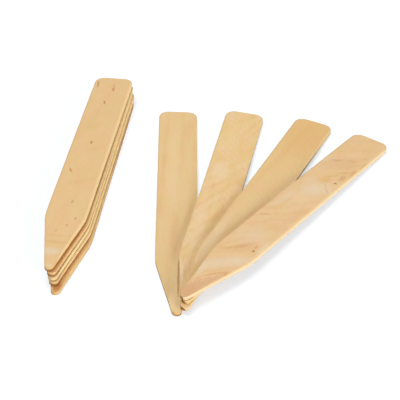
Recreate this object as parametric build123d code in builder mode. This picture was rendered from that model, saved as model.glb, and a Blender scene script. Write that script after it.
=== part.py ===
from build123d import *
import math
import os

# A set of plant label stakes of rotary cut birch veneer, as they lie on a table: a pile of five and,
# beside it, a fan of four whose tips lie on each other. Every stake is cut to one outline: straight
# sides, two rounded corners at the written end and a long point that goes into the soil.
# Millimetres, +Z up, +Y roughly along the stakes from the tips to the written ends. The origin is on
# the table, under the middle of the whole set.

# One stake
stake_length = 150.0
stake_width = 18.0
stake_thickness = 1.6
point_length = 35.0
tip_radius = 1.95
corner_radius = 4.6
shoulder_radius = 40.0
edge_ease = 0.25

# A rounding takes at most these shares of the edge, the half width or the thickness that carries it
edge_room_share = 0.33
corner_room_share = 0.9
tip_room_share = 0.5
ease_room_share = 0.4

# The fan, from the stake on the table up. A lean is clockwise from +Y, seen from above, and a slant
# is how far the sawn end is off square. Tips are placed from the first tip, as shares of the width.
fan_lean_angles = (-0.2, 10.9, 24.1, 35.9)
fan_slant_angles = (4.0, 1.5, 0.8, -2.5)
fan_across_shares = (0.0, 0.19, 0.2, 0.16)
fan_along_shares = (0.0, 0.062, 0.2, 0.21)
fan_tip_shift_shares = (0.03, 0.01, -0.01, -0.02)
fan_gap = 0.1
fan_top_bow = 0.8

# The pile, from the stake on the table up. Pushes are towards the tips and asides to the right, from
# the stake on top, as shares of the width. A turn is clockwise, from the lean of the stake on top.
pile_lean_angle = 8.3
pile_turn_angles = (-0.8, -0.5, -0.5, -0.4, 0.0)
pile_slant_angles = (1.0, -1.5, 2.0, 0.5, -1.9)
pile_push_shares = (0.333, 0.117, 0.078, 0.039, 0.0)
pile_aside_shares = (0.2, 0.14, 0.094, 0.083, 0.0)
pile_tip_shift_shares = (0.02, -0.01, 0.01, -0.01, 0.017)
pile_gap = 0.25
pile_top_bow = 0.6
pile_beside_fan = 12.7
pile_behind_fan = 20.0

# The curves that cut an arched stake run this far past its ends
overrun = 2.0

half_width = stake_width / 2


def direction(lean):
    """Unit vector on the table that points along a stake, from its tip to its written end."""
    turn = math.radians(lean)
    return Vector(math.sin(turn), math.cos(turn), 0)


def across(lean):
    """Unit vector on the table that points to the right of a stake."""
    turn = math.radians(lean)
    return Vector(math.cos(turn), -math.sin(turn), 0)


def on_stake(tip, lean, along, aside):
    """Point of the table under a place on a stake, given along it and to its right."""
    return tip + direction(lean) * along + across(lean) * aside


def plane_height(seat, point):
    """Height at which a tilted seat passes over a point of the table."""
    normal = seat.z_dir
    reach = seat.origin - point
    return (normal.X * reach.X + normal.Y * reach.Y) / normal.Z + seat.origin.Z


def lying_plane(tip, lean, first, second, third):
    """Seat through three points, with its origin over the tip and its Y along the stake."""
    normal = (second - first).cross(third - first).normalized()
    if normal.Z < 0:
        normal = -normal
    surface = Plane(origin=first, z_dir=normal)
    origin = Vector(tip.X, tip.Y, plane_height(surface, tip))
    return Plane(origin=origin, x_dir=direction(lean).cross(normal), z_dir=normal)


def resting_on(below, below_tip, below_lean, tip, lean):
    """Seat of a fan stake: on the right edge of the stake below, with one far corner on the table."""
    lift = Vector(0, 0, stake_thickness / below.z_dir.Z + fan_gap)
    edge_points = []
    for along in (point_length, stake_length):
        point = on_stake(below_tip, below_lean, along, half_width)
        edge_points.append(Vector(point.X, point.Y, plane_height(below, point)) + lift)
    corner = on_stake(tip, lean, stake_length, half_width)
    return lying_plane(tip, lean, edge_points[0], edge_points[1], corner)


def stake_outline(seat, slant, tip_shift):
    """Outline of a stake on its seat, with its tip at the seat's origin and its length along Y."""
    nose = min(tip_radius, half_width * tip_room_share)
    reach = point_length - nose
    flare = math.atan2(half_width, reach) - math.asin(nose / math.hypot(half_width, reach))
    apex = nose - nose / math.sin(flare)
    rise = half_width * math.tan(math.radians(slant))
    straight = stake_length - point_length - abs(rise)
    corner = min(corner_radius, half_width * corner_room_share, straight * edge_room_share)
    shoulder_room = min(straight, point_length) * edge_room_share
    shoulder = min(shoulder_radius, shoulder_room / math.tan(flare / 2))
    with BuildSketch(seat) as outline:
        with BuildLine():
            Polyline(
                (tip_shift, apex),
                (half_width, point_length),
                (half_width, stake_length - rise),
                (-half_width, stake_length + rise),
                (-half_width, point_length),
                close=True,
            )
        make_face()
        shoulders = vertices().filter_by_position(Axis.Y, point_length, point_length)
        fillet(shoulders, radius=shoulder)
        fillet(vertices().sort_by(Axis.Y)[0], radius=nose)
        fillet(vertices().sort_by(Axis.Y)[-2:], radius=corner)
    return outline.sketch


def arch_side(seat, bow):
    """Side view of an arched stake on its seat: its underside is at the seat at both ends."""
    start = -overrun
    end = stake_length + overrun
    drop = bow - bow * ((end - start) / stake_length) ** 2
    with BuildSketch(Plane(origin=seat.origin, x_dir=seat.y_dir, z_dir=seat.x_dir)) as side:
        with BuildLine():
            under = ThreePointArc((start, drop), (stake_length / 2, bow), (end, drop))
            over = ThreePointArc(
                (start, drop + stake_thickness),
                (stake_length / 2, bow + stake_thickness),
                (end, drop + stake_thickness),
            )
            Line(under @ 0, over @ 0)
            Line(under @ 1, over @ 1)
        make_face()
    return side.sketch


def stake(seat, slant, tip_shift, bow=0.0):
    """One stake on its seat: a flat blank, or one arched upwards by its bow at mid length."""
    outline = stake_outline(seat, slant, tip_shift)
    with BuildPart() as blank:
        extrude(outline, amount=stake_thickness + bow)
        if bow:
            extrude(arch_side(seat, bow), amount=stake_width, both=True, mode=Mode.INTERSECT)
        broad_faces = faces().sort_by(SortBy.AREA)[-2:]
        fillet(broad_faces.edges(), radius=min(edge_ease, stake_thickness * ease_room_share))
    return blank.part


# Seats of the fan, each on the one before it
fan_tips = []
fan_seats = []
for lean, across_share, along_share in zip(fan_lean_angles, fan_across_shares, fan_along_shares):
    tip = Vector(across_share * stake_width, along_share * stake_width, 0)
    if fan_seats:
        seat = resting_on(fan_seats[-1], fan_tips[-1], fan_lean_angles[len(fan_seats) - 1], tip, lean)
    else:
        seat = Plane(origin=tip, x_dir=across(lean), z_dir=(0, 0, 1))
    fan_tips.append(tip)
    fan_seats.append(seat)

# Seats of the pile, flat above each other. The stake on top stands clear of the fan at its far corner.
first_side = on_stake(fan_tips[0], fan_lean_angles[0], stake_length, -half_width)
pile_corner = on_stake(Vector(0, 0, 0), pile_lean_angle, stake_length, half_width)
pile_tip = Vector(first_side.X - pile_beside_fan - pile_corner.X, fan_tips[0].Y + pile_behind_fan, 0)
pile_seats = []
for level, turn in enumerate(pile_turn_angles):
    push = pile_push_shares[level] * stake_width
    aside = pile_aside_shares[level] * stake_width
    place = on_stake(pile_tip, pile_lean_angle, -push, aside)
    height = Vector(0, 0, level * (stake_thickness + pile_gap))
    pile_seats.append(Plane(origin=place + height, x_dir=across(pile_lean_angle + turn), z_dir=(0, 0, 1)))

# The stakes, with the ones on top arched, and the points about which the fan closes
stakes = {}
hinges = {}
for level, seat in enumerate(pile_seats):
    bow = pile_top_bow if level == len(pile_seats) - 1 else 0.0
    tip_shift = pile_tip_shift_shares[level] * stake_width
    stakes[f"pile_stake_{level + 1}"] = stake(seat, pile_slant_angles[level], tip_shift, bow)
for level, seat in enumerate(fan_seats):
    bow = fan_top_bow if level == len(fan_seats) - 1 else 0.0
    tip_shift = fan_tip_shift_shares[level] * stake_width
    name = f"fan_stake_{level + 1}"
    stakes[name] = stake(seat, fan_slant_angles[level], tip_shift, bow)
    if level:
        closes_by = fan_lean_angles[level] - fan_lean_angles[level - 1]
        hinges[name] = (seat.origin + seat.y_dir * tip_radius, seat.z_dir, closes_by)

# Interfaces: under the pile, on the fan's flat stake near its written end, and the top stake's point
lowest = pile_seats[0]
topmost = pile_seats[-1]
written = fan_seats[0]
point_shift = pile_tip_shift_shares[-1] * stake_width
underside = lowest.origin + lowest.y_dir * (stake_length / 2)
writing_face = written.origin + written.y_dir * (stake_length - stake_width)
writing_face += written.z_dir * stake_thickness
soil_point = topmost.origin + topmost.x_dir * point_shift + topmost.z_dir * (stake_thickness / 2)

# The whole set moves so that its middle is over the origin
boxes = [part.bounding_box() for part in stakes.values()]
middle_x = (min(box.min.X for box in boxes) + max(box.max.X for box in boxes)) / 2
middle_y = (min(box.min.Y for box in boxes) + max(box.max.Y for box in boxes)) / 2
centring = Vector(-middle_x, -middle_y, 0)

os.makedirs("parts", exist_ok=True)
for name, part in stakes.items():
    part = part.moved(Location(centring))
    part.label = name
    export_step(part, f"parts/{name}.step")

print("set moved by", centring)
for name, (pivot, axis, closes_by) in hinges.items():
    print(name, "pivot", pivot + centring, "axis", axis, "closes by", round(closes_by, 2))
print("underside place", underside + centring)
print("writing_face place", writing_face + centring)
print("soil_point place", soil_point + centring, "points", -topmost.y_dir)
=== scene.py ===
"""Plant label stakes of birch veneer: a neat pile and, beside it, an open fan.

Each stake is cut again from the outline of its node, as a finely divided blank with eased edges and a
slightly uneven outline. Its grain, flecks and growth lines, and the shade and light painted on it, are
laid out in millimetres on the stake.
"""

from __future__ import annotations

import logging
import math
from dataclasses import dataclass
from enum import Enum
from typing import ClassVar

import bpy
from mathutils import Matrix, Vector
from mathutils.geometry import convex_hull_2d


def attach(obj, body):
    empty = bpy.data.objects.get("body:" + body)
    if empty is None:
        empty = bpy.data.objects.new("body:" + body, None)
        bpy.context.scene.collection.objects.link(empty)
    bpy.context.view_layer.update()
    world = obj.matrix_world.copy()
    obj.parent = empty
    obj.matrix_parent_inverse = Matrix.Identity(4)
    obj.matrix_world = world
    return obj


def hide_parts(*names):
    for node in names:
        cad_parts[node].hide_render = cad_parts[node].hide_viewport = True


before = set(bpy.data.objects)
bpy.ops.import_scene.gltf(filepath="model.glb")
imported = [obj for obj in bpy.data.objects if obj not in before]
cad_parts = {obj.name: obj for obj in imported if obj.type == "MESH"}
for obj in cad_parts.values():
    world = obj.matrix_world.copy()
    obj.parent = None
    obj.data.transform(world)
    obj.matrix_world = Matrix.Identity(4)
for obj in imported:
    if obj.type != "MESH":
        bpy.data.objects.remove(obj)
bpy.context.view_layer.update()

MM = 0.001
Colour = tuple[float, float, float]
Socket = bpy.types.NodeSocket
Outputs = bpy.types.bpy_prop_collection
Object = bpy.types.Object
Group = bpy.types.NodeTree
WHITE: Colour = (1.0, 1.0, 1.0)

# Kinds of the sockets of the node groups, by name. Every other socket is a number.
SOCKET_KINDS = {"Geometry": "Geometry", "Material": "Material", "Rows": "Int", "Columns": "Int"}
SOCKET_KINDS |= {"Place": "Vector", "Facing": "Vector"}

log = logging.getLogger("plant_label_stakes")


@dataclass(frozen=True)
class Bands:
    """Growth bands of veneer.

    Args:
        width: Width of one band, in millimetres.
        sway: How far the bands are pushed aside, in millimetres.
        stretch: How many times longer along the grain than across it they wander.
        slant: How far they turn from the grain, in degrees.
    """

    width: float
    sway: float
    stretch: float
    slant: float


class Figure(Enum):
    """How a sheet of rotary cut birch is figured."""

    STRAIGHT = Bands(7.0, 8.0, 9.0, 3.0)
    EVEN = Bands(11.0, 12.0, 4.0, 8.0)
    CURLY = Bands(6.0, 16.0, 1.6, 35.0)
    FLAMED = Bands(5.5, 13.0, 1.4, 42.0)


class Tone(Enum):
    """Colours that marks in the wood take, among them painted shade and painted light, as linear red, green
    and blue.
    """

    PITH = (0.34, 0.12, 0.0)
    KNOT = (0.36, 0.13, 0.02)
    # Rust brown, and also painted shade beside the gaps of the pile.
    RUST_AND_SHADE = (0.6, 0.28, 0.09)
    # Late wood, and also painted shade beside the stakes that lie on a fan stake and on the rim.
    LATE_WOOD_AND_SHADE = (0.62, 0.35, 0.155)
    ROSE = (0.7, 0.44, 0.25)
    # Pale wood, and also a painted highlight at the nose of the pile's top stake.
    PALE = (0.86, 0.68, 0.48)
    SILVER = (0.775, 0.64, 0.47)
    STRAW = (0.82, 0.63, 0.33)
    # Painted shade: deep brown for the lower cut edge, the underside near the rim and a contact line.
    DEEP_SHADE = (0.32, 0.11, 0.015)
    # Painted shade: the greyish rim of the face where it faces away from the light.
    ARRIS = (0.52, 0.37, 0.17)
    # Painted light: the pale cream of the right wall and rim.
    PAINTED_LIGHT = (0.98, 0.82, 0.5)
    # Painted shade: warm brown on the pile's lower stakes, where the stakes above shade them.
    WARM_SHADE = (0.78, 0.4, 0.14)
    # Painted shade: the darkest brown, at the tip of the pile's lowest stake.
    DARKEST_SHADE = (0.5, 0.2, 0.04)
    HONEY = (0.73, 0.46, 0.185)


@dataclass(frozen=True)
class Noise:
    """A noise texture: its scale, how many finer layers it has and how strong they are."""

    scale: float
    detail: float
    roughness: float = 0.5


@dataclass(frozen=True)
class Mark:
    """A fleck, knot, pale patch, growth line, strip of painted shade or painted highlight, placed on a stake
    in millimetres.

    Args:
        tone: The colour that it takes.
        along: Distance of its middle from the tip.
        aside: Distance of its middle to the right of the stake's centre line.
        length: Its length along its own direction.
        width: Its width.
        strength: How strongly it shows, up to 1.
        turn: Its direction, in degrees clockwise from the grain.
        bend: How far its middle stands off the line between its ends.
        softness: The share of it over which it fades.
    """

    tone: Tone
    along: float
    aside: float
    length: float
    width: float
    strength: float = 1.0
    turn: float = 0.0
    bend: float = 0.0
    softness: float = 0.8


@dataclass(frozen=True)
class CutEdge:
    """How the cut edge of a stake and the rim of its face look, with the shade and light painted on them.

    The first four are the shares of the edge's height, from below, with a ragged painted shade. A negative
    one keeps the edge clear of it.

    Args:
        tip: At the tip, to the left.
        point: Along the two sides of the point, and at the tip to the right.
        body: Along the straight sides, up to about half the length.
        end: At the written end.
        painted_light: How much light is painted on the right side, as a pale cream, on the wall and on the
            rim of the face.
        rim_shade_from: Distance from the tip at which the greyish painted shade of the rim begins, in
            millimetres.
    """

    tip: float = 0.3
    point: float = 0.3
    body: float = 0.3
    end: float = 0.2
    painted_light: float = 0.0
    rim_shade_from: float = -40.0


@dataclass(frozen=True)
class VeneerFinish:
    """The look of one sheet of veneer.

    Args:
        slot: The record's material slot.
        light: Colour of the early wood, linear.
        dark: Colour of the late wood, linear.
        edge: Colour of the cut edge, linear.
        under: Colour of the loose side, which lies below, linear, darker and warmer than the face as painted
            shade in the gaps under the stake.
        figure: How the growth bands run.
        band_strength: How much of the late wood's colour the bands take.
        fibre_strength: How much the fibres darken the wood.
        mottle_strength: How much broad cloudy patches lighten the wood.
        ripple_strength: How much faint diagonal ripples darken the wood.
        roughness: Mean roughness of the sanded face.
    """

    slot: str
    light: Colour
    dark: Colour
    edge: Colour = (0.84, 0.63, 0.36)
    under: Colour = (0.74, 0.5, 0.22)
    figure: Figure = Figure.EVEN
    band_strength: float = 0.5
    fibre_strength: float = 0.3
    mottle_strength: float = 0.4
    ripple_strength: float = 0.1
    roughness: float = 0.58


@dataclass(frozen=True)
class Seat:
    """Where a stake lies, measured on its node: its plane, its direction and its outline.

    Args:
        matrix: From the stake's own frame, with X across, Y from the tip and Z up, to the row frame.
        outline: Points of the outline in the stake's frame, in metres, from the tip up its right side.
        bow: How far the stake is arched at mid length, in metres.
        length: Length from the tip to the written end, in metres.
        thickness: Thickness of the veneer, in metres.
    """

    matrix: Matrix
    outline: tuple[Vector, ...]
    bow: float
    length: float
    thickness: float

    UP_FACING: ClassVar[float] = 0.9
    END_ZONE: ClassVar[float] = 6.0 * MM
    SAWN_STEP: ClassVar[float] = 2.0 * MM

    @staticmethod
    def of(node: str) -> Seat:
        """Measures a node.

        Args:
            node: Name of the node.

        Returns:
            The seat of the stake in that node.
        """
        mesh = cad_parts[node].data
        points = [vertex.co.copy() for vertex in mesh.vertices]
        normal = Vector((0.0, 0.0, 0.0))
        for polygon in mesh.polygons:
            if polygon.normal.z > Seat.UP_FACING:
                normal += polygon.normal * polygon.area
        normal.normalize()
        along = Seat._long_direction(points, normal)
        for _ in range(3):
            across = along.cross(normal)
            flat = [Vector((p.dot(across), p.dot(along), p.dot(normal))) for p in points]
            low, high = min(p.y for p in flat), max(p.y for p in flat)
            tip_height = min(p.z for p in flat if p.y < low + Seat.END_ZONE)
            end_height = min(p.z for p in flat if p.y > high - Seat.END_ZONE)
            slope = (end_height - tip_height) / (high - low)
            normal = (normal - along * slope).normalized()
            along = (along - normal * along.dot(normal)).normalized()
        middle = (min(p.x for p in flat) + max(p.x for p in flat)) / 2
        end_top = max(p.z for p in flat if p.y > high - Seat.END_ZONE)
        hull = [Vector((flat[i].x - middle, flat[i].y - low)) for i in convex_hull_2d([p.xy for p in flat])]
        origin = across * middle + along * low + normal * tip_height
        rotation = Matrix((across, along, normal)).transposed().to_4x4()
        return Seat(
            matrix=Matrix.Translation(origin) @ rotation,
            outline=tuple(Seat._from_the_tip(hull)),
            bow=max(0.0, max(p.z for p in flat) - end_top),
            length=high - low,
            thickness=end_top - end_height,
        )

    @staticmethod
    def _long_direction(points: list[Vector], normal: Vector) -> Vector:
        """Finds the direction of the straight sides: across it the outline is narrowest.

        Args:
            points: The stake's points in the row frame.
            normal: The stake's upward normal.

        Returns:
            A unit vector in the stake's plane, towards the written end.
        """
        first = Vector((0.0, 1.0, 0.0))
        first = (first - normal * first.dot(normal)).normalized()
        second = first.cross(normal)
        flat = [Vector((p.dot(second), p.dot(first))) for p in points]
        hull = [flat[i] for i in convex_hull_2d(flat)]
        best_width, best = math.inf, first
        for start, end in zip(hull, hull[1:] + hull[:1]):
            step = end - start
            if step.length < 1e-6:
                continue
            step.normalize()
            offsets = [p.x * step.y - p.y * step.x for p in hull]
            width = max(offsets) - min(offsets)
            if width < best_width - 1e-9:
                best_width, best = width, second * step.x + first * step.y
        return best if best.y > 0 else -best

    @staticmethod
    def _from_the_tip(hull: list[Vector]) -> list[Vector]:
        """Orders an outline anticlockwise from its lowest point.

        Args:
            hull: Points of a convex outline in order.

        Returns:
            The same points, from the tip up the right side and down the left one.
        """
        turn = sum(a.cross(b) for a, b in zip(hull, hull[1:] + hull[:1]))
        ordered = hull if turn > 0 else hull[::-1]
        lowest = min(range(len(ordered)), key=lambda i: ordered[i].y)
        return ordered[lowest:] + ordered[:lowest]

    def end_shares(self) -> tuple[float, float]:
        """Finds where the sawn end begins and ends on the outline.

        Returns:
            The shares of the outline's length from the tip to the sawn end, up the right side and up
            the left one.
        """
        loop = list(self.outline) + [self.outline[0]]
        steps = [(b - a).length for a, b in zip(loop, loop[1:])]
        total = sum(steps)
        candidates = [i for i, step in enumerate(steps) if step > Seat.SAWN_STEP]
        end = max(candidates, key=lambda i: loop[i].y + loop[i + 1].y)
        return sum(steps[:end]) / total, sum(steps[end + 1 :]) / total


def placed(name: str, data: bpy.types.ID) -> Object:
    """Adds an object to the scene.

    Args:
        name: Its name.
        data: Its mesh, curve, camera or light.

    Returns:
        The object, at the origin.
    """
    thing = bpy.data.objects.new(name, data)
    bpy.context.scene.collection.objects.link(thing)
    return thing


def emptied(holder: bpy.types.Material | bpy.types.World) -> NodeTree:
    """Turns on the nodes of a material or world and clears them.

    Args:
        holder: The material or world.

    Returns:
        A helper on its empty tree.
    """
    holder.use_nodes = True
    holder.node_tree.nodes.clear()
    return NodeTree(holder.node_tree)


class NodeTree:
    """A thin helper that adds nodes to a tree and links them."""

    def __init__(self, tree: Group) -> None:
        """Keeps the tree that nodes are added to."""
        self.tree = tree

    @classmethod
    def opened(cls, name: str, family: str, inputs: tuple[str, ...]) -> tuple[NodeTree, Outputs]:
        """Starts a group.

        Args:
            name: The group's name.
            family: Shader or Geometry.
            inputs: Names of its inputs.

        Returns:
            A helper on the group, and the group's inputs.
        """
        nodes = cls(bpy.data.node_groups.new(name, family + "NodeTree"))
        nodes._declare("INPUT", inputs)
        return nodes, nodes.add("NodeGroupInput").outputs

    def closed(self, values: dict[str, Socket]) -> Group:
        """Ends a group.

        Args:
            values: Its outputs by name.

        Returns:
            The group.
        """
        self._declare("OUTPUT", tuple(values))
        self.add("NodeGroupOutput", values)
        return self.tree

    def _declare(self, direction: str, labels: tuple[str, ...]) -> None:
        """Adds sockets to the group.

        Args:
            direction: INPUT or OUTPUT.
            labels: Their names.
        """
        for label in labels:
            kind = "NodeSocket" + SOCKET_KINDS.get(label, "Float")
            self.tree.interface.new_socket(label, in_out=direction, socket_type=kind)

    def add(
        self, kind: str, inputs: dict[str | int, object] | None = None, **settings: object
    ) -> bpy.types.Node:
        """Adds a node.

        Args:
            kind: The node's type.
            inputs: Values or output sockets by the input's name or number, colours without alpha.
            settings: Properties of the node.

        Returns:
            The new node.
        """
        node = self.tree.nodes.new(kind)
        for name, value in settings.items():
            setattr(node, name, value)
        for key, value in (inputs or {}).items():
            socket = node.inputs[key]
            if isinstance(value, Socket):
                self.tree.links.new(value, socket)
            else:
                socket.default_value = (*value, 1.0) if socket.type == "RGBA" else value
        return node

    def group(self, tree: Group, inputs: dict[str, object]) -> Outputs:
        """Places a shared group with its own values and returns its outputs."""
        return self.add("ShaderNodeGroup", inputs, node_tree=tree).outputs

    def math(self, operation: str, *values: object) -> Socket:
        """Adds a math node and returns its output."""
        return self.add("ShaderNodeMath", dict(enumerate(values)), operation=operation).outputs[0]

    def times(self, first: object, second: object) -> Socket:
        """Product of two numbers."""
        return self.math("MULTIPLY", first, second)

    def rest(self, share: Socket) -> Socket:
        """What a share leaves of 1."""
        return self.math("SUBTRACT", 1.0, share)

    def vector(self, operation: str, first: object, second: object) -> Socket:
        """Adds a vector math node and returns its vector."""
        return self.add("ShaderNodeVectorMath", {0: first, 1: second}, operation=operation).outputs[0]

    def scaled(self, vector: Socket, factor: object) -> Socket:
        """A vector times a number."""
        return self.add("ShaderNodeVectorMath", {0: vector, 3: factor}, operation="SCALE").outputs[0]

    def turned(self, vector: Socket, angle: object) -> Socket:
        """A vector turned about Z."""
        inputs = {"Vector": vector, "Angle": angle}
        return self.add("ShaderNodeVectorRotate", inputs, rotation_type="Z_AXIS").outputs[0]

    def combine(self, **parts: object) -> Socket:
        """Joins numbers, given as X, Y and Z, into a vector."""
        return self.add("ShaderNodeCombineXYZ", parts).outputs[0]

    def split(self, vector: Socket) -> Outputs:
        """Splits a vector into outputs named X, Y and Z."""
        return self.add("ShaderNodeSeparateXYZ", {0: vector}).outputs

    def noise(self, place: Socket, kind: Noise, output: str = "Fac") -> Socket:
        """Adds a noise texture and returns one of its outputs."""
        inputs = {"Vector": place, "Scale": kind.scale, "Detail": kind.detail, "Roughness": kind.roughness}
        return self.add("ShaderNodeTexNoise", inputs).outputs[output]

    def centred(self, place: Socket, kind: Noise) -> Socket:
        """Noise whose middle is 0, from about -0.5 to 0.5."""
        return self.math("SUBTRACT", self.noise(place, kind), 0.5)

    def ramp(
        self, value: Socket, low: object, high: object, first: object = 0.0, last: object = 1.0
    ) -> Socket:
        """Goes smoothly from the first result, at low, to the last one, at high."""
        inputs = {"Value": value, "From Min": low, "From Max": high, "To Min": first, "To Max": last}
        return self.add("ShaderNodeMapRange", inputs, interpolation_type="SMOOTHSTEP").outputs["Result"]

    def mix(
        self, share: object, first: Socket | Colour, second: Socket | Colour, blend: str = "MIX"
    ) -> Socket:
        """Mixes two colours, by the share of the second one."""
        inputs = {0: share, 6: first, 7: second}
        return self.add("ShaderNodeMix", inputs, data_type="RGBA", blend_type=blend).outputs[2]


class ShaderGroups:
    """The shader node groups that every veneer uses, each built once. Their lengths are millimetres."""

    WANDER = Noise(0.07, 2.5, 0.45)
    BAND_FADE = Noise(0.05, 1.0)
    CLOUDS = Noise(0.16, 4.0, 0.55)
    BLUSH = Noise(0.24, 3.0, 0.6)
    RAGGED_MARK = Noise(1.0, 3.0, 0.6)
    PLY_LINES = Noise(1.0, 3.0, 0.65)
    # The painted shade on the lower cut edge has a ragged outline.
    RAGGED_EDGE_SHADE = Noise(1.0, 3.0, 0.7)
    FADE_SHIFT = (7.0, 31.0, 3.0)
    BLUSH_SHIFT = (19.0, 5.0, 11.0)
    CLOUD_SEED_SHIFT = 40.0
    CLOUD_SQUEEZE = 0.45
    LATE_WOOD_SHARPNESS = 2.2
    RIPPLE_SWAY = 7.0
    RIPPLE_PITCH = 1.5
    MARK_SQUEEZE = (1.3, 0.35, 1.0)
    MARK_RAGGEDNESS = 0.9
    PLY_SQUEEZE = (0.08, 0.08, 3.2)
    # Stretch, raggedness and reach of the painted shade on the lower cut edge.
    EDGE_SHADE_SQUEEZE = (0.4, 0.25, 0.6)
    EDGE_SHADE_RAGGEDNESS = 0.5
    EDGE_SHADE_REACH = 1.7
    TIP_TO_POINT = (2.0, 9.0)
    POINT_TO_BODY = (26.0, 48.0)
    BODY_TO_END = (75.0, 110.0)
    # Length over which the painted shade of the rim fades in.
    RIM_SHADE_FADE = 35.0

    def __init__(self) -> None:
        """Builds the groups."""
        self.figure = self._figure()
        self.fibres = self._fibres()
        self.mark = self._mark()
        self.rim = self._rim()

    def _figure(self) -> Group:
        """Growth bands that wander along the grain, cloudy patches, a blush and faint ripples.

        Returns:
            The group.
        """
        inputs = ("Place", "Seed", "Band Width", "Sway", "Stretch", "Slant")
        nodes, given = NodeTree.opened("Birch figure", "Shader", inputs)
        place = nodes.split(given["Place"])
        along = nodes.math("DIVIDE", place["Y"], given["Stretch"])
        grain = nodes.combine(X=place["X"], Y=along, Z=given["Seed"])
        crossed = nodes.split(nodes.turned(given["Place"], given["Slant"]))["X"]
        pushed = nodes.math("MULTIPLY_ADD", nodes.centred(grain, self.WANDER), given["Sway"], crossed)
        phase = nodes.times(nodes.math("DIVIDE", pushed, given["Band Width"]), math.tau)
        wave = nodes.math("MULTIPLY_ADD", nodes.math("SINE", phase), 0.5, 0.5)
        late = nodes.math("POWER", wave, self.LATE_WOOD_SHARPNESS)
        fade = nodes.noise(nodes.vector("ADD", grain, self.FADE_SHIFT), self.BAND_FADE)
        cloud_seed = nodes.math("ADD", given["Seed"], self.CLOUD_SEED_SHIFT)
        cloud_along = nodes.times(place["Y"], self.CLOUD_SQUEEZE)
        cloud_place = nodes.combine(X=place["X"], Y=cloud_along, Z=cloud_seed)
        cloud = nodes.noise(cloud_place, self.CLOUDS)
        blush = nodes.noise(nodes.vector("ADD", cloud_place, self.BLUSH_SHIFT), self.BLUSH)
        diagonal = nodes.math("ADD", place["X"], place["Y"])
        swayed = nodes.math("MULTIPLY_ADD", blush, self.RIPPLE_SWAY, diagonal)
        ripple = nodes.math("SINE", nodes.times(swayed, self.RIPPLE_PITCH))
        values = {
            "Bands": nodes.times(late, nodes.ramp(fade, 0.3, 0.65)),
            "Mottle": nodes.ramp(cloud, 0.35, 0.68),
            "Blush": nodes.ramp(blush, 0.3, 0.7),
            "Ripple": nodes.times(nodes.ramp(ripple, -0.4, 1.0), nodes.ramp(cloud, 0.42, 0.6)),
        }
        return nodes.closed(values)

    def _fibres(self) -> Group:
        """Fine fibres and short open pores along the grain.

        Returns:
            The group.
        """
        nodes, given = NodeTree.opened("Birch fibres", "Shader", ("Place", "Seed"))
        place = nodes.split(given["Place"])
        far = nodes.combine(Y=nodes.times(place["Y"], 0.02), Z=given["Seed"])
        aside = nodes.math("MULTIPLY_ADD", nodes.noise(far, Noise(1.0, 1.0)), 4.0, place["X"])
        deep = nodes.math("MULTIPLY_ADD", place["Z"], 1.5, given["Seed"])
        masks = {}
        for name, across, along, low, high, detail in (
            ("Fibres", 2.6, 0.07, 0.38, 0.66, 5.0),
            ("Pores", 5.5, 0.55, 0.6, 0.78, 1.0),
        ):
            streak = nodes.combine(X=nodes.times(aside, across), Y=nodes.times(place["Y"], along), Z=deep)
            masks[name] = nodes.ramp(nodes.noise(streak, Noise(1.0, detail, 0.6)), low, high)
        return nodes.closed(masks)

    def _mark(self) -> Group:
        """One soft spot or stroke, with a ragged outline.

        Returns:
            The group.
        """
        inputs = ("Place", "Along", "Aside", "Half Length", "Half Width", "Turn", "Bend", "Softness")
        nodes, given = NodeTree.opened("Wood mark", "Shader", inputs)
        middle = nodes.combine(X=given["Aside"], Y=given["Along"])
        offset = nodes.vector("SUBTRACT", given["Place"], middle)
        place = nodes.split(nodes.turned(offset, given["Turn"]))
        run = nodes.math("DIVIDE", place["Y"], given["Half Length"])
        squared = nodes.times(run, run)
        bent = nodes.math("MULTIPLY_ADD", squared, given["Bend"], place["X"])
        side = nodes.math("DIVIDE", bent, given["Half Width"])
        distance = nodes.math("SQRT", nodes.math("ADD", squared, nodes.times(side, side)))
        ragged = nodes.centred(nodes.vector("MULTIPLY", given["Place"], self.MARK_SQUEEZE), self.RAGGED_MARK)
        rough = nodes.math("MULTIPLY_ADD", ragged, self.MARK_RAGGEDNESS, distance)
        inner = nodes.rest(given["Softness"])
        return nodes.closed({"Mask": nodes.ramp(rough, inner, 1.0, 1.0, 0.0)})

    def _rim(self) -> Group:
        """Masks for the cut edge, the underside and the rim of the face.

        Returns:
            Masks for the cut edge, the underside and the rim of the face, which carry painted shade on the
            lower edge, the rim and the underside, and painted light on the right side.
        """
        inputs = ("Facing", "Place", "Tip", "Point", "Body", "End", "Handled")
        nodes, given = NodeTree.opened("Cut edge", "Shader", inputs)
        normal = nodes.add("ShaderNodeNewGeometry").outputs["Normal"]
        turn = nodes.add("ShaderNodeVectorMath", {0: normal, 1: given["Facing"]}, operation="DOT_PRODUCT")
        facing = turn.outputs["Value"]
        place = nodes.split(given["Place"])
        plies = nodes.noise(nodes.vector("MULTIPLY", given["Place"], self.PLY_SQUEEZE), self.PLY_LINES)
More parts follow.
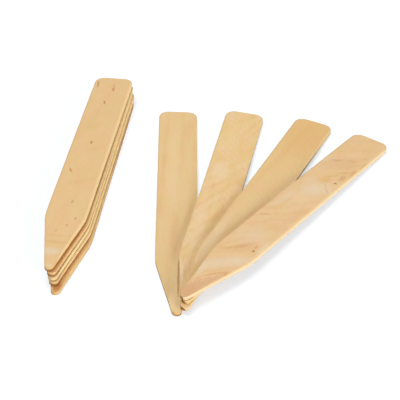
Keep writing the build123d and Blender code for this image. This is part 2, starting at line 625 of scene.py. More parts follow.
        # Painted shade on the lower part of the cut edge: its height as a share of the edge, from the tip to
        # the written end.
        shade_height = nodes.ramp(place["X"], -0.6, 1.4, given["Tip"], given["Point"])
        shade_height = nodes.ramp(place["Y"], *self.TIP_TO_POINT, shade_height, given["Point"])
        shade_height = nodes.ramp(place["Y"], *self.POINT_TO_BODY, shade_height, given["Body"])
        shade_height = nodes.ramp(place["Y"], *self.BODY_TO_END, shade_height, given["End"])
        ragged = nodes.centred(nodes.vector("MULTIPLY", given["Place"], self.EDGE_SHADE_SQUEEZE), self.RAGGED_EDGE_SHADE)
        wander = nodes.math("MULTIPLY_ADD", ragged, self.EDGE_SHADE_RAGGEDNESS, shade_height)
        drop = nodes.math("SUBTRACT", nodes.times(wander, self.EDGE_SHADE_REACH), place["Z"])
        edge_shade = nodes.ramp(drop, -0.15, 0.25)
        rim = nodes.add("ShaderNodeAttribute", attribute_name="rim").outputs["Fac"]
        right = nodes.times(nodes.ramp(place["X"], 1.5, 4.5), nodes.ramp(place["Y"], 148.0, 144.0))
        # Painted shade on the rim of the face, away from the right side: at the left sides, the tip and the
        # written end.
        rim_shade = nodes.times(nodes.ramp(rim, 0.75, 0.15), nodes.rest(right))
        beyond = nodes.math("SUBTRACT", place["Y"], given["Handled"])
        # Painted light on the right wall and the right rim of the face, kept off the painted shade of the
        # lower edge.
        pale = nodes.times(nodes.ramp(rim, 1.25, 0.3), right)
        values = {
            "Wall": nodes.ramp(nodes.math("ABSOLUTE", facing), 0.75, 0.2),
            "Under": nodes.ramp(facing, -0.2, -0.75),
            "Checks": nodes.ramp(plies, 0.35, 0.7),
            "Edge Shade": edge_shade,
            "Arris": nodes.times(rim_shade, nodes.ramp(beyond, 0.0, self.RIM_SHADE_FADE)),
            "Painted Light": nodes.times(pale, nodes.rest(edge_shade)),
            "Right": nodes.ramp(place["X"], -1.0, 3.0),
        }
        return nodes.closed(values)


class VeneerMaterial:
    """Makes the material of one stake from its finish and its place."""

    YELLOW_TINT = (0.985, 1.01, 0.96)
    PINK_TINT = (1.015, 0.965, 0.985)
    RIPPLE_SHADE = (0.9, 0.83, 0.72)
    FIBRE_SHADE = (0.86, 0.77, 0.64)
    PORE_SHADE = (0.7, 0.55, 0.4)
    PORE_SHARE = 0.7
    # Strengths of the painted rim shade, of the checks, of the painted edge shade and of the painted
    # underside shade.
    RIM_SHADE_SHARE = 0.45
    CHECK_SHARE = 0.4
    EDGE_SHADE_SHARE = 0.85
    UNDER_SHARE = 0.8
    FIBRE_ROUGHNESS = 0.12
    WALL_ROUGHNESS = 0.15
    FIBRE_DEPTH = 0.5
    PORE_DEPTH = 0.6
    CHECK_DEPTH = 1.2
    RELIEF_HEIGHT = 0.04 * MM

    def __init__(self, groups: ShaderGroups, stake: Stake, seat: Seat) -> None:
        """Starts a material. Its places are millimetres on the stake, with X across and Y from the tip.

        Args:
            groups: The shared shader groups.
            stake: The stake that it dresses.
            seat: Where the stake lies, so that the grain follows it.
        """
        self.groups = groups
        self.stake = stake
        self.facing = tuple(seat.matrix.col[2].xyz)
        self.material = bpy.data.materials.new(f"{stake.finish.slot} {stake.node}")
        self.nodes = emptied(self.material)
        inverse = seat.matrix.inverted()
        inputs = {
            "Vector": self.nodes.add("ShaderNodeTexCoord").outputs["Object"],
            "Location": inverse.translation / MM,
            "Rotation": inverse.to_euler("XYZ"),
            "Scale": (1 / MM, 1 / MM, 1 / MM),
        }
        self.place = self.nodes.add("ShaderNodeMapping", inputs).outputs["Vector"]

    def make(self) -> bpy.types.Material:
        """Puts the fibres, the cut edge, and the shade and light painted on the rim, the edge and the
        underside on the wood.

        Returns:
            The material.
        """
        nodes, place = self.nodes, self.place
        finish, cut_edge = self.stake.finish, self.stake.cut_edge
        fibres = nodes.group(self.groups.fibres, {"Place": place, "Seed": self.stake.seed})
        inputs = {"Facing": self.facing, "Place": place, "Tip": cut_edge.tip, "Point": cut_edge.point}
        inputs |= {"Body": cut_edge.body, "End": cut_edge.end, "Handled": cut_edge.rim_shade_from}
        rim = nodes.group(self.groups.rim, inputs)
        colour = self._wood()
        fibre_share = nodes.times(fibres["Fibres"], finish.fibre_strength)
        colour = nodes.mix(fibre_share, colour, self.FIBRE_SHADE, "MULTIPLY")
        pore_share = nodes.times(fibres["Pores"], finish.fibre_strength * self.PORE_SHARE)
        colour = nodes.mix(pore_share, colour, self.PORE_SHADE, "MULTIPLY")
        # Painted shade on the rim: greyish, and warm brown towards the right, where it stands for the shade
        # of the gaps.
        rim_shade = nodes.mix(rim["Right"], Tone.ARRIS.value, Tone.LATE_WOOD_AND_SHADE.value)
        colour = nodes.mix(nodes.times(rim["Arris"], self.RIM_SHADE_SHARE), colour, rim_shade)
        wall = nodes.mix(nodes.times(rim["Checks"], self.CHECK_SHARE), finish.edge, finish.dark)
        # Painted shade on the lower part of the cut edge, ragged and deep brown.
        wall = nodes.mix(nodes.times(rim["Edge Shade"], self.EDGE_SHADE_SHARE), wall, Tone.DEEP_SHADE.value)
        colour = nodes.mix(rim["Wall"], colour, wall)
        # Painted shade on the underside, which shows in the gaps: darker and warmer, deep brown near the
        # rim.
        under = nodes.mix(rim["Arris"], finish.under, Tone.DEEP_SHADE.value)
        colour = nodes.mix(nodes.times(rim["Under"], self.UNDER_SHARE), colour, under)
        # Painted light: pale cream on the right wall and the right rim of the face.
        colour = nodes.mix(nodes.times(rim["Painted Light"], cut_edge.painted_light), colour, Tone.PAINTED_LIGHT.value)
        smoothest = finish.roughness - self.FIBRE_ROUGHNESS / 3
        rough = nodes.math("MULTIPLY_ADD", fibres["Fibres"], self.FIBRE_ROUGHNESS, smoothest)
        rough = nodes.math("MULTIPLY_ADD", rim["Wall"], self.WALL_ROUGHNESS, rough)
        relief = nodes.times(fibres["Fibres"], -self.FIBRE_DEPTH)
        relief = nodes.math("MULTIPLY_ADD", fibres["Pores"], -self.PORE_DEPTH, relief)
        checks = nodes.times(rim["Wall"], rim["Checks"])
        relief = nodes.math("MULTIPLY_ADD", checks, -self.CHECK_DEPTH, relief)
        inputs = {"Height": relief, "Strength": 0.5, "Distance": self.RELIEF_HEIGHT}
        bump = nodes.add("ShaderNodeBump", inputs).outputs[0]
        inputs = {"Base Color": colour, "Roughness": rough, "Normal": bump}
        shader = nodes.add("ShaderNodeBsdfPrincipled", inputs | {"Specular IOR Level": 0.45})
        nodes.add("ShaderNodeOutputMaterial", {"Surface": shader.outputs["BSDF"]})
        return self.material

    def _wood(self) -> Socket:
        """Colours the face of the stake with its marks, among them painted shade and a painted highlight,
        apart from its fibres and its rim.

        Returns:
            The colour.
        """
        nodes, stake = self.nodes, self.stake
        finish, bands = stake.finish, stake.finish.figure.value
        inputs = {"Place": self.place, "Seed": stake.seed, "Band Width": bands.width, "Sway": bands.sway}
        inputs |= {"Stretch": bands.stretch, "Slant": math.radians(bands.slant)}
        figure = nodes.group(self.groups.figure, inputs)
        colour = nodes.mix(nodes.times(figure["Bands"], finish.band_strength), finish.light, finish.dark)
        colour = nodes.mix(nodes.times(figure["Mottle"], finish.mottle_strength), colour, Tone.PALE.value)
        tint = nodes.mix(figure["Blush"], self.YELLOW_TINT, self.PINK_TINT)
        colour = nodes.mix(1.0, colour, tint, "MULTIPLY")
        ripple_share = nodes.times(figure["Ripple"], finish.ripple_strength)
        colour = nodes.mix(ripple_share, colour, self.RIPPLE_SHADE, "MULTIPLY")
        for mark in stake.marks:
            inputs = {"Place": self.place, "Along": mark.along, "Aside": mark.aside}
            inputs |= {"Half Length": mark.length / 2, "Half Width": mark.width / 2}
            inputs |= {"Turn": math.radians(mark.turn), "Bend": mark.bend, "Softness": mark.softness}
            mask = nodes.group(self.groups.mark, inputs)["Mask"]
            colour = nodes.mix(nodes.times(mask, mark.strength), colour, mark.tone.value)
        return colour


@dataclass
class VeneerBlank:
    """Cuts a stake from its outline: a ladder of cross rows, given a thickness, arch and uneven outline.

    Args:
        rows: Rows of faces from the tip to the written end.
        columns: Faces across the stake.
        edge_ease: Radius of the eased edge, in metres.
        ease_steps: Faces round the eased edge.
        ease_angle: Edges that turn by more than this are eased, in degrees.
        sharp_angle: Edges that turn by more than this are shaded as sharp ones, in degrees.
        waver: How far the outline wavers, in metres.
        waver_length: Length of one waver, in metres.
        waver_margin: How far into the face the waver reaches, in millimetres.
    """

    rows: int = 300
    columns: int = 14
    edge_ease: float = 0.16 * MM
    ease_steps: int = 3
    ease_angle: float = 50.0
    sharp_angle: float = 24.0
    waver: float = 0.12 * MM
    waver_length: float = 5.0 * MM
    waver_margin: float = 3.0

    def __post_init__(self) -> None:
        """Builds the geometry nodes that turn an outline curve into a stake."""
        inputs = ("Geometry", "Rows", "Columns", "Right Share", "Left Share", "Length", "Thickness", "Bow")
        inputs += ("Waver", "Waver Length", "Seed", "Material")
        nodes, given = NodeTree.opened("Veneer blank", "Geometry", inputs)
        self.nodes, self.given = nodes, given
        self.position = nodes.add("GeometryNodeInputPosition").outputs[0]
        counts = {
            "Vertices X": nodes.math("ADD", given["Columns"], 1.0),
            "Vertices Y": nodes.math("ADD", given["Rows"], 1.0),
        }
        grid = nodes.add("GeometryNodeMeshGrid", {"Size X": 1.0, "Size Y": 1.0} | counts)
        square = nodes.split(self.position)
        row = nodes.math("ADD", square["Y"], 0.5)
        column = nodes.math("ADD", square["X"], 0.5)
        right = self._on_outline(nodes.times(row, given["Right Share"]))
        left = self._on_outline(nodes.rest(nodes.times(row, given["Left Share"])))
        place = nodes.add("ShaderNodeMix", {0: column, 4: left, 5: right}, data_type="VECTOR").outputs[1]
        width = nodes.add("ShaderNodeVectorMath", {0: left, 1: right}, operation="DISTANCE").outputs["Value"]
        marked = self._with_rim(grid.outputs["Mesh"], column, row, width)
        sheet = self._wavered(self._step("SetPosition", marked, Position=place))
        welded = self._step("MergeByDistance", sheet, Distance=0.002 * MM)
        inputs = {"Mesh": welded, "Offset": (0.0, 0.0, 1.0), "Offset Scale": given["Thickness"]}
        thick = nodes.add("GeometryNodeExtrudeMesh", inputs | {"Individual": False}, mode="FACES")
        joined = nodes.add("GeometryNodeJoinGeometry")
        for half in (self._step("FlipFaces", welded), thick.outputs["Mesh"]):
            nodes.tree.links.new(half, joined.inputs[0])
        solid = self._step("MergeByDistance", joined.outputs[0], Distance=0.001 * MM)
        arched = self._step("RemoveAttribute", self._arched(solid), Name="loose")
        real = self._step("RealizeInstances", arched)
        dressed = self._step("SetMaterial", real, Material=given["Material"])
        self.tree = nodes.closed({"Geometry": dressed})
        self.tree.is_modifier = True

    def _step(self, kind: str, geometry: Socket, **inputs: object) -> Socket:
        """Adds a geometry node behind another one and returns its geometry."""
        return self.nodes.add("GeometryNode" + kind, {0: geometry} | inputs).outputs[0]

    def _on_outline(self, share: Socket) -> Socket:
        """Samples the outline.

        Args:
            share: Share of the outline's length, from the tip.

        Returns:
            The point.
        """
        inputs = {"Curves": self.given["Geometry"], "Factor": share}
        node = self.nodes.add("GeometryNodeSampleCurve", inputs, mode="FACTOR", use_all_curves=True)
        return node.outputs["Position"]

    def _with_rim(self, sheet: Socket, column: Socket, row: Socket, width: Socket) -> Socket:
        """Stores how far each point lies from the outline, in millimetres, for the materials.

        Args:
            sheet: The flat sheet.
            column: How far a point lies from the left, as a share of its row.
            row: How far it lies from the tip, as a share of the length.
            width: Width of its row, in metres.

        Returns:
            The sheet with the distance as its attribute rim, and as its attribute loose how much of
            the outline's waver each point takes.
        """
        nodes = self.nodes
        aside = nodes.math("MINIMUM", column, nodes.rest(column))
        side = nodes.times(nodes.times(aside, width), 1 / MM)
        behind = nodes.times(nodes.times(nodes.rest(row), self.given["Length"]), 1 / MM)
        nearest = nodes.math("MINIMUM", side, behind)
        for name, value in (("rim", nearest), ("loose", nodes.ramp(nearest, self.waver_margin, 0.0))):
            inputs = {"Geometry": sheet, "Name": name, "Value": value}
            settings = {"data_type": "FLOAT", "domain": "POINT"}
            sheet = nodes.add("GeometryNodeStoreNamedAttribute", inputs, **settings).outputs[0]
        return sheet

    def _wavered(self, sheet: Socket) -> Socket:
        """Lets the punched sides and the sawn end waver a little.

        Args:
            sheet: The flat sheet.

        Returns:
            The sheet with an uneven outline.
        """
        nodes, given = self.nodes, self.given
        weight = nodes.add("GeometryNodeInputNamedAttribute", {"Name": "loose"}, data_type="FLOAT")
        place = nodes.scaled(self.position, nodes.math("DIVIDE", 1.0, given["Waver Length"]))
        place = nodes.vector("ADD", place, nodes.combine(Z=given["Seed"]))
        noise = nodes.noise(place, Noise(1.0, 3.0, 0.55), "Color")
        flat = nodes.vector("MULTIPLY", nodes.vector("ADD", noise, (-0.5, -0.5, -0.5)), (2.0, 2.0, 0.0))
        offset = nodes.scaled(flat, nodes.times(weight.outputs[0], given["Waver"]))
        return self._step("SetPosition", sheet, Offset=offset)

    def _arched(self, solid: Socket) -> Socket:
        """Arches the stake by its bow at mid length.

        Args:
            solid: The flat stake.

        Returns:
            The arched stake.
        """
        nodes = self.nodes
        share = nodes.math("DIVIDE", nodes.split(self.position)["Y"], self.given["Length"])
        centred = nodes.math("MULTIPLY_ADD", share, 2.0, -1.0)
        rise = nodes.times(nodes.rest(nodes.times(centred, centred)), self.given["Bow"])
        return self._step("SetPosition", solid, Offset=nodes.combine(Z=rise))

    def cut(self, name: str, seat: Seat, material: bpy.types.Material, seed: float) -> Object:
        """Cuts one stake and lays it on its seat.

        Args:
            name: The piece's name.
            seat: Where it lies, and its outline.
            material: What it is dressed in.
            seed: Which waver its outline has.

        Returns:
            The finished piece, with its place in its mesh.
        """
        curve = bpy.data.curves.new(name + "_outline", "CURVE")
        spline = curve.splines.new("POLY")
        spline.points.add(len(seat.outline) - 1)
        for point, place in zip(spline.points, seat.outline):
            point.co = (place.x, place.y, 0.0, 1.0)
        spline.use_cyclic_u = True
        blank = placed(name + "_blank", curve)
        right_share, left_share = seat.end_shares()
        modifier = blank.modifiers.new("Cut", "NODES")
        modifier.node_group = self.tree
        values = {"Rows": self.rows, "Columns": self.columns, "Seed": seed, "Material": material}
        values |= {"Length": seat.length, "Thickness": seat.thickness, "Bow": seat.bow}
        values |= {"Right Share": right_share, "Left Share": left_share}
        values |= {"Waver": self.waver, "Waver Length": self.waver_length}
        for item in self.tree.interface.items_tree:
            if item.in_out == "INPUT" and item.name in values:
                modifier[item.identifier] = values[item.name]
        flat = self._evaluated(blank)
        bpy.data.objects.remove(blank)
        piece = placed(name, flat)
        ease = piece.modifiers.new("Ease", "BEVEL")
        ease.width = self.edge_ease
        ease.segments = self.ease_steps
        ease.limit_method = "ANGLE"
        ease.angle_limit = math.radians(self.ease_angle)
        eased = self._evaluated(piece)
        piece.modifiers.clear()
        piece.data = eased
        eased.name = name
        eased.transform(seat.matrix)
        eased.shade_smooth()
        eased.set_sharp_from_angle(angle=math.radians(self.sharp_angle))
        return piece

    @staticmethod
    def _evaluated(source: Object) -> bpy.types.Mesh:
        """Plain mesh of an object with its modifiers."""
        graph = bpy.context.evaluated_depsgraph_get()
        return bpy.data.meshes.new_from_object(source.evaluated_get(graph))


@dataclass
class Stake:
    """One stake, which takes the place of its node.

    Args:
        node: Name of the node and of its body.
        finish: What its veneer looks like.
        seed: Which part of the wood it is cut from.
        cut_edge: What its cut edge looks like, with the shade and light painted on it.
        marks: What is placed on it.
    """

    node: str
    finish: VeneerFinish
    seed: float
    cut_edge: CutEdge = CutEdge()
    marks: tuple[Mark, ...] = ()

    def make(self, blank: VeneerBlank, groups: ShaderGroups) -> None:
        """Makes the piece and hands it to the frame.

        Args:
            blank: Cuts the outline.
            groups: The shared shader groups.
        """
        seat = Seat.of(self.node)
        material = VeneerMaterial(groups, self, seat).make()
        piece = blank.cut(f"{self.node}_veneer", seat, material, self.seed)
        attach(piece, self.node)
        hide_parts(self.node)
        measures = (seat.length / MM, seat.bow / MM, len(piece.data.polygons))
        log.info("%s: %.1f mm long, bow %.2f mm, %d faces", piece.name, *measures)


@dataclass
class StakeSet:
    """A group of stakes that lie on each other, from the table up.

    Args:
        name: What the group is called.
        stakes: Its stakes.
    """

    name: str
    stakes: list[Stake]

    def make(self, blank: VeneerBlank, groups: ShaderGroups) -> None:
        """Makes every stake of the group.

        Args:
            blank: Cuts the outlines.
            groups: The shared shader groups.
        """
        log.info("%s: %d stakes", self.name, len(self.stakes))
        for stake in self.stakes:
            stake.make(blank, groups)


STRAW = VeneerFinish(
    slot="veneer_straw",
    light=(0.775, 0.58, 0.3),
    dark=(0.725, 0.49, 0.21),
    edge=(0.82, 0.58, 0.29),
    figure=Figure.STRAIGHT,
    fibre_strength=0.12,
    mottle_strength=0.2,
)

CREAM = VeneerFinish(
    slot="veneer_cream",
    light=(0.8, 0.59, 0.285),
    dark=(0.73, 0.5, 0.215),
    edge=(0.88, 0.73, 0.43),
    figure=Figure.CURLY,
    band_strength=0.6,
    fibre_strength=0.2,
    mottle_strength=0.5,
    ripple_strength=0.28,
)

HONEY = VeneerFinish(
    slot="veneer_honey",
    light=(0.785, 0.57, 0.295),
    dark=(0.74, 0.49, 0.2),
    edge=(0.86, 0.67, 0.39),
    band_strength=0.45,
    fibre_strength=0.1,
    mottle_strength=0.1,
    ripple_strength=0.16,
)

ROSE = VeneerFinish(
    slot="veneer_rose",
    light=(0.77, 0.55, 0.3),
    dark=(0.7, 0.44, 0.205),
    edge=(0.9, 0.8, 0.58),
    figure=Figure.FLAMED,
    band_strength=0.32,
    fibre_strength=0.12,
    mottle_strength=0.25,
)

FLECKED = VeneerFinish(
    slot="veneer_flecked",
    light=(0.77, 0.55, 0.28),
    dark=(0.72, 0.48, 0.21),
    edge=(0.88, 0.69, 0.36),
    band_strength=0.35,
    fibre_strength=0.08,
    mottle_strength=0.15,
)

LOWEST_PAINTED_SHADE = (
    # Painted shade near the tip and along the right side, under the stakes above.
    Mark(Tone.WARM_SHADE, 20, 3, 60, 16, 0.6, 8),
    # Painted light: the outer strip of the right taper kept pale beside that painted shade.
    Mark(Tone.STRAW, 18, 5.8, 50, 3.2, 0.8, 12),
    # Darkest painted shade at the tip.
    Mark(Tone.DARKEST_SHADE, 4, 0.5, 12, 6, 0.9),
    # Painted shade along the right edge towards the written end.
    Mark(Tone.RUST_AND_SHADE, 112, 8, 84, 3, 0.5),
)

PAINTED_SHADE_SIDE = (
    # Painted shade near the tip and along the right side, under the stake above.
    Mark(Tone.WARM_SHADE, 20, 4, 70, 16, 0.9, 8),
    # Painted shade along the right margin, beside the gap under the stake above.
    Mark(Tone.RUST_AND_SHADE, 72, 7.6, 90, 1.8, 0.55, softness=0.6),
)

PALE_PATCHES_AND_SHADE = (
    # Painted shade on this stake beside the left edge of the stake that lies on it.
    Mark(Tone.LATE_WOOD_AND_SHADE, 22, -3.4, 40, 5, 0.3, 1),
    Mark(Tone.LATE_WOOD_AND_SHADE, 60, 1, 56, 6, 0.33, 13),
    Mark(Tone.PALE, 99, -3, 26, 11, 0.6),
    Mark(Tone.PALE, 24, -6.3, 30, 2.6, 0.75, -14),
    Mark(Tone.STRAW, 128, -4, 30, 9, 0.5),
    Mark(Tone.PALE, 58, -4.8, 70, 9, 0.45),
)

GOLDEN_END_AND_SHADE = (
    # Painted shade on this stake beside the left edge of the stake that lies on it.
    Mark(Tone.LATE_WOOD_AND_SHADE, 20, -3.8, 38, 5, 0.3),
    Mark(Tone.LATE_WOOD_AND_SHADE, 63, 1.2, 68, 6, 0.33, 12),
    Mark(Tone.HONEY, 138, 1, 66, 44, 0.6),
    Mark(Tone.STRAW, 72, -3, 34, 9, 0.3),
    Mark(Tone.PALE, 44, -6.6, 64, 6, 0.4),
)

SHADED_POINT = (
    # Painted shade on this stake beside the left edge of the stake that lies on it.
    Mark(Tone.LATE_WOOD_AND_SHADE, 50, -0.5, 40, 7, 0.3),
    Mark(Tone.LATE_WOOD_AND_SHADE, 60, 3.9, 52, 5, 0.22, 11),
    Mark(Tone.PALE, 8, -1.5, 16, 5, 0.35),
    # Painted shadow: a dark line along the left edge of the stake that lies on this one.
    Mark(Tone.DEEP_SHADE, 23, 1, 34, 1.1, 0.6, softness=0.5),
    Mark(Tone.STRAW, 118, -2, 46, 9, 0.35),
    Mark(Tone.PALE, 92, -1, 56, 11, 0.3),
    Mark(Tone.HONEY, 132, 5, 26, 7, 0.3),
)

FLAMES_AND_KNOTS = (
    Mark(Tone.SILVER, 97.5, 1, 20, 16, 0.95, 25, softness=0.95),
    Mark(Tone.SILVER, 101, 5.5, 11, 7, 0.55, -40),
    Mark(Tone.SILVER, 102.5, -4.5, 10, 6, 0.4, 20),
    Mark(Tone.PALE, 88, -1, 16, 12, 0.35, 20),
    Mark(Tone.SILVER, 84, -5.6, 30, 5, 0.55, 4, bend=2),
    Mark(Tone.SILVER, 52, -1, 22, 18, 0.45, 35),
    Mark(Tone.SILVER, 28, -0.5, 40, 10, 0.65, 38),
    Mark(Tone.SILVER, 32.5, 4.5, 14, 8, 0.55, 38),
    Mark(Tone.SILVER, 19, -4.5, 14, 4, 0.6, -12),
    Mark(Tone.SILVER, 47, 7.6, 18, 3, 0.7, -3),
    Mark(Tone.SILVER, 122, -6.5, 12, 4, 0.35, 40),
    Mark(Tone.ROSE, 122, -1, 26, 14, 0.4, 40),
    Mark(Tone.ROSE, 43, 1.5, 14, 10, 0.3, 35),
    Mark(Tone.ROSE, 13.5, 8.2, 46, 18, 0.95, 35, softness=0.3),
    Mark(Tone.LATE_WOOD_AND_SHADE, 4, 0, 14, 9, 0.35),
    Mark(Tone.ROSE, 70, 5, 30, 6, 0.2),
    Mark(Tone.RUST_AND_SHADE, 20.5, 1.9, 20, 1.9, 0.4, 37, bend=-1.2),
    Mark(Tone.RUST_AND_SHADE, 22.5, 5.4, 6, 3.6, 0.45, 30),
    Mark(Tone.LATE_WOOD_AND_SHADE, 41, -1.4, 24, 3.4, 0.45, 37, bend=1.8),
    Mark(Tone.LATE_WOOD_AND_SHADE, 67.5, -5.6, 7, 2.2, 0.4, 55),
    Mark(Tone.RUST_AND_SHADE, 112.5, 6, 9, 3.4, 0.45, -5),
    Mark(Tone.HONEY, 107, 0.8, 9, 6, 0.6, 30),
    Mark(Tone.LATE_WOOD_AND_SHADE, 111.5, 1.8, 10, 1.3, 0.5, 42, bend=0.6),
    Mark(Tone.LATE_WOOD_AND_SHADE, 116.5, 4, 9, 2.6, 0.35, 46),
    Mark(Tone.LATE_WOOD_AND_SHADE, 123.5, -3.6, 9, 2.6, 0.5, 52, bend=0.8),
    Mark(Tone.LATE_WOOD_AND_SHADE, 127.5, 2.4, 8, 3, 0.3, 50),
    Mark(Tone.LATE_WOOD_AND_SHADE, 133, 5.8, 3, 1.8, 0.4),
    Mark(Tone.RUST_AND_SHADE, 127, 8.2, 9, 1.8, 0.4),
    Mark(Tone.RUST_AND_SHADE, 119, 7.8, 9, 2.4, 0.4),
    Mark(Tone.LATE_WOOD_AND_SHADE, 102.5, 3.6, 5, 0.9, 0.5, -50),
    Mark(Tone.LATE_WOOD_AND_SHADE, 99.8, 5.8, 6, 1, 0.6, -50),
    Mark(Tone.KNOT, 107.2, 5.6, 2.2, 1.5, 0.95, 75),
    Mark(Tone.RUST_AND_SHADE, 45.6, 4.8, 4.5, 1.3, 0.5, -14),
    Mark(Tone.KNOT, 42.6, 5.4, 2.6, 1.5, 0.8, -15),
)

PITH_FLECKS = (
    Mark(Tone.SILVER, 11.2, -1, 7, 12, 0.75, softness=0.7),
    # Painted highlight at the nose of the tip.
    Mark(Tone.PALE, 1.8, 0.3, 4, 4, 0.6),
    Mark(Tone.RUST_AND_SHADE, 17.5, 0, 3.5, 16, 0.2),
    Mark(Tone.RUST_AND_SHADE, 22, 0, 3, 16, 0.1),
    Mark(Tone.HONEY, 62, 1, 20, 5, 0.25, 62),
    Mark(Tone.HONEY, 89, 3.5, 14, 5, 0.3, 55),
    Mark(Tone.HONEY, 106, -2, 16, 7, 0.2, 60),
    Mark(Tone.RUST_AND_SHADE, 139.8, 1, 4.2, 1.7, 1, -6),
    Mark(Tone.LATE_WOOD_AND_SHADE, 142.8, 0.7, 7, 1.2, 0.7, -4),
    Mark(Tone.PITH, 143.6, -7.2, 8, 1.1, 0.75, -6),
    Mark(Tone.PITH, 127.5, -1, 4.6, 1.1, 0.8, -14),
    Mark(Tone.PITH, 93, -0.3, 3.8, 1.3, 0.75, -8),
    Mark(Tone.RUST_AND_SHADE, 69.8, -5, 5, 1.5, 1, -22),
    Mark(Tone.PITH, 46.5, 0.7, 3.4, 1.5, 0.4, 8),
    Mark(Tone.PITH, 34.8, 4.5, 2.6, 1.3, 0.5),
    Mark(Tone.RUST_AND_SHADE, 29.5, 1.9, 3.2, 1.4, 0.7, 8),
    Mark(Tone.PITH, 25.5, -2, 2.6, 1, 0.3),
    Mark(Tone.PITH, 22.8, 4.7, 1.8, 0.8, 0.3),
)


@dataclass(frozen=True)
class Lamp:
    """A soft square lamp that faces the set.

    Args:
        name: The lamp's name.
        place: Where it stands, in metres.
        size: Its side, in metres.
        power: Its power, in watts.
        tint: Colour of its light.
    """

    name: str
    place: tuple[float, float, float]
    size: float
    power: float
    tint: Colour = WHITE

    def make(self) -> None:
        """Adds the lamp to the scene."""
        data = bpy.data.lights.new(self.name, "AREA")
        data.size = self.size
        data.energy = self.power
        data.color = self.tint
        lamp = placed(self.name, data)
        lamp.location = self.place
        lamp.rotation_euler = (-Vector(self.place)).to_track_quat("-Z", "Y").to_euler()


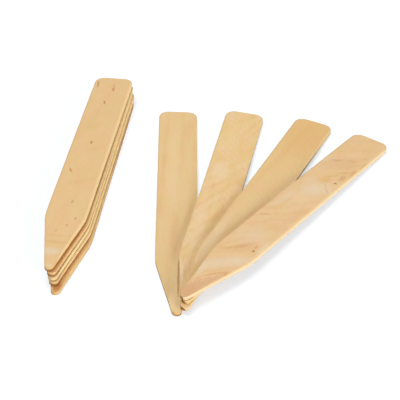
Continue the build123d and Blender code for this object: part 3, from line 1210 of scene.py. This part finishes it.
@dataclass
class Studio:
    """The white table, the soft lights and the camera.

    Args:
        lens: Focal length, in millimetres.
        distance: From the camera to the point that it looks at, in metres.
        elevation: Height of the view, in degrees.
        aim: The point of the table that it looks at, in metres.
        table_reach: Size of the table top, in metres.
        paper_seen: Colour of the table for the camera.
        paper_bounce: Colour of the table for the light that it sends back to the set.
        glow: Colour of the light that lifts the table to white.
        glow_strength: How strong that light is.
        surround: Colour of the surround's light.
        surround_strength: How strong that light is.
        lamps: The lamps.
    """

    lens: float = 145.96
    distance: float = 720.38 * MM
    elevation: float = 35.85
    aim: tuple[float, float, float] = (-9.97 * MM, -4.23 * MM, 0.0)
    table_reach: float = 6.0
    paper_seen: Colour = (0.555, 0.615, 0.69)
    paper_bounce: Colour = (0.6, 0.58, 0.55)
    glow: Colour = (0.985, 1.015, 1.085)
    glow_strength: float = 0.525
    surround: Colour = (1.0, 0.88, 0.71)
    surround_strength: float = 0.33
    lamps: tuple[Lamp, ...] = (
        Lamp("overhead", (-0.84, 0.76, 2.3), 2.0, 43.5),
        Lamp("front_right", (1.24, -1.56, 0.6), 0.9, 31.0, (1.0, 0.92, 0.8)),
    )

    def make(self) -> None:
        """Makes the whole studio."""
        self._table()
        self._camera()
        for lamp in self.lamps:
            lamp.make()
        self._world()
        bpy.context.scene.view_settings.view_transform = "Standard"

    def _table(self) -> None:
        """Makes the pale table top, which shows white to the camera and keeps its shadows."""
        half = self.table_reach / 2
        mesh = bpy.data.meshes.new("table_top")
        corners = [(-half, -half, 0.0), (half, -half, 0.0), (half, half, 0.0), (-half, half, 0.0)]
        mesh.from_pydata(corners, [], [(0, 1, 2, 3)])
        table = placed("table_top", mesh)
        material = bpy.data.materials.new("white paper")
        nodes = emptied(material)
        rays = nodes.add("ShaderNodeLightPath").outputs
        mirrored = nodes.math("MAXIMUM", rays["Is Glossy Ray"], rays["Is Transmission Ray"])
        seen = nodes.math("MAXIMUM", rays["Is Camera Ray"], mirrored)
        tint = nodes.mix(rays["Is Camera Ray"], self.paper_bounce, self.paper_seen)
        paper = nodes.add("ShaderNodeBsdfDiffuse", {"Color": tint})
        strength = nodes.times(seen, self.glow_strength)
        glow = nodes.add("ShaderNodeEmission", {"Color": self.glow, "Strength": strength})
        both = nodes.add("ShaderNodeAddShader", {0: paper.outputs[0], 1: glow.outputs[0]})
        nodes.add("ShaderNodeOutputMaterial", {"Surface": both.outputs[0]})
        mesh.materials.append(material)

    def _camera(self) -> None:
        """Places the camera in front of the set, level and without a tilt to the side."""
        data = bpy.data.cameras.new("camera")
        data.lens = self.lens
        data.sensor_width = 36.0
        camera = placed("camera", data)
        slope = math.radians(self.elevation)
        back = Vector((0.0, -math.cos(slope), math.sin(slope))) * self.distance
        camera.location = Vector(self.aim) + back
        camera.rotation_euler = (math.radians(90) - slope, 0.0, 0.0)
        bpy.context.scene.camera = camera

    def _world(self) -> None:
        """Sets an even surround, which the camera sees as white."""
        world = bpy.data.worlds.new("surround")
        nodes = emptied(world)
        seen = nodes.add("ShaderNodeLightPath").outputs["Is Camera Ray"]
        inputs = {
            "Color": nodes.mix(seen, self.surround, WHITE),
            "Strength": nodes.ramp(seen, 0.0, 1.0, self.surround_strength, 1.0),
        }
        background = nodes.add("ShaderNodeBackground", inputs)
        nodes.add("ShaderNodeOutputWorld", {"Surface": background.outputs[0]})
        bpy.context.scene.world = world


def main() -> None:
    """Builds the pile, the fan and the studio."""
    logging.basicConfig(level=logging.INFO, format="%(name)s: %(message)s")
    groups = ShaderGroups()
    blank = VeneerBlank()
    # In each CutEdge, the first four numbers set the painted shade on the lower cut edge, the fifth the
    # painted light on the right side, and the sixth, given for the fan, where the painted rim shade begins.
    pile = [
        Stake("pile_stake_1", STRAW, 11, CutEdge(0.1, 0.05, 0.4, 0.9), LOWEST_PAINTED_SHADE),
        Stake("pile_stake_2", HONEY, 12, CutEdge(0.5, 0.45, 0.2, 0.1, 0.6)),
        Stake("pile_stake_3", CREAM, 13, CutEdge(0.1, 0, -0.2, -0.3, 0.8)),
        Stake("pile_stake_4", STRAW, 14, CutEdge(0.5, 0.3, 0.3, -0.2, 0.3), PAINTED_SHADE_SIDE),
        Stake("pile_stake_5", FLECKED, 15, CutEdge(0.4, 0.6, 0.5, 0.1, 0.42), PITH_FLECKS),
    ]
    fan = [
        Stake("fan_stake_1", STRAW, 21, CutEdge(0.2, 0.5, 0.3, 0.2, 0, 25), SHADED_POINT),
        Stake("fan_stake_2", CREAM, 22, CutEdge(0.9, 0, 0.5, 0.4, 0, 70), PALE_PATCHES_AND_SHADE),
        Stake("fan_stake_3", HONEY, 23, CutEdge(0.9, -0.1, 0.3, -0.1, 0.3, 70), GOLDEN_END_AND_SHADE),
        Stake("fan_stake_4", ROSE, 24, CutEdge(0.8, -0.4, -0.4, -0.4, 0.3, 80), FLAMES_AND_KNOTS),
    ]
    for stake_set in (StakeSet("pile", pile), StakeSet("fan", fan)):
        stake_set.make(blank, groups)
    Studio().make()


if __name__ == "__main__":
    main()
